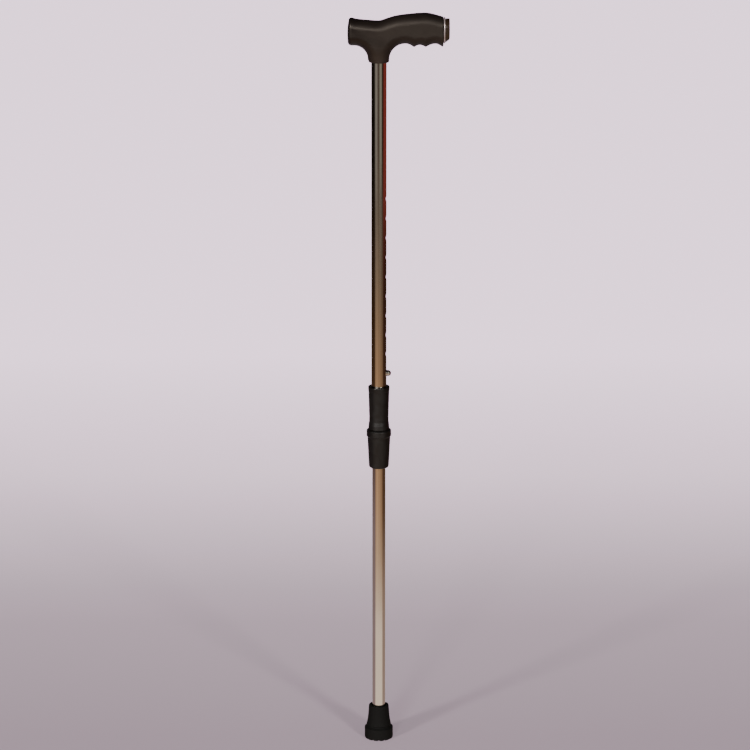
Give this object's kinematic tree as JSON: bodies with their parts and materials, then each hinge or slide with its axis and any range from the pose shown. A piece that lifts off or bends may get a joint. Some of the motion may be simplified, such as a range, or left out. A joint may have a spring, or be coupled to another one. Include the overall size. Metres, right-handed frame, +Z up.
{
  "type": "walking cane",
  "caption": "Height-adjustable single point cane with a moulded derby handle, telescoping tubes, a snap button, a lock nut and a rubber tip.",
  "frame": {"origin": "centre of the rubber tip's ground face, on the axis of both tubes", "axes": "+Z up along the tubes, +X towards the handle's palm end and out of the snap button, +Y to the back of the handle, where its screw is"},
  "size_m": [0.1279, 0.0372, 0.9638],
  "materials": {
    "handle_black": "satin brown-black moulded plastic",
    "trim_bright": "bright polished trim",
    "cap_bronze": "glossy dark bronze",
    "tube_polished": "polished and clear anodised, slightly warm",
    "collar_black": "satin black moulded plastic",
    "bush_nylon": "natural nylon",
    "zinc_steel": "zinc plated",
    "tip_rubber": "matte black rubber"
  },
  "bodies": {
    "shaft": {"handle_grip": "handle_black", "handle_end_ring": "trim_bright", "handle_end_cap": "cap_bronze", "handle_screw": "zinc_steel", "tube_top_plug": "bush_nylon", "upper_tube": "tube_polished", "collar_sleeve": "collar_black"},
    "leg": {"lower_tube": "tube_polished", "guide_bush": "bush_nylon", "button_spring": "zinc_steel", "tip_washer": "zinc_steel", "rubber_tip": "tip_rubber"},
    "button": {"snap_button": "zinc_steel"},
    "clamp": {"clamp_ring": "bush_nylon"},
    "nut": {"lock_nut": "collar_black"}
  },
  "joints": [
    {"name": "height_slide", "type": "slide", "parent": "shaft", "child": "leg", "axis": [0, 0, 1], "range_m": [0, 0.2286], "deforming": ["snap_button", "button_spring"]},
    {"name": "button_press", "type": "slide", "parent": "leg", "child": "button", "axis": [-1, 0, 0], "range_m": [0, 0.0069], "stiffness_N_per_m": 800, "deforming": ["button_spring"]},
    {"name": "clamp_travel", "type": "slide", "parent": "shaft", "child": "clamp", "axis": [0, 0, -1], "range_m": [0, 0.0025]},
    {"name": "nut_turn", "type": "hinge", "parent": "clamp", "child": "nut", "pos_m": [0, 0, 0.4], "axis": [0, 0, -1], "range_deg": [0, 360]}
  ],
  "couplings": [
    {"joint": "clamp_travel", "follows": "nut_turn", "m_per_rad": 0.00039789}
  ]
}
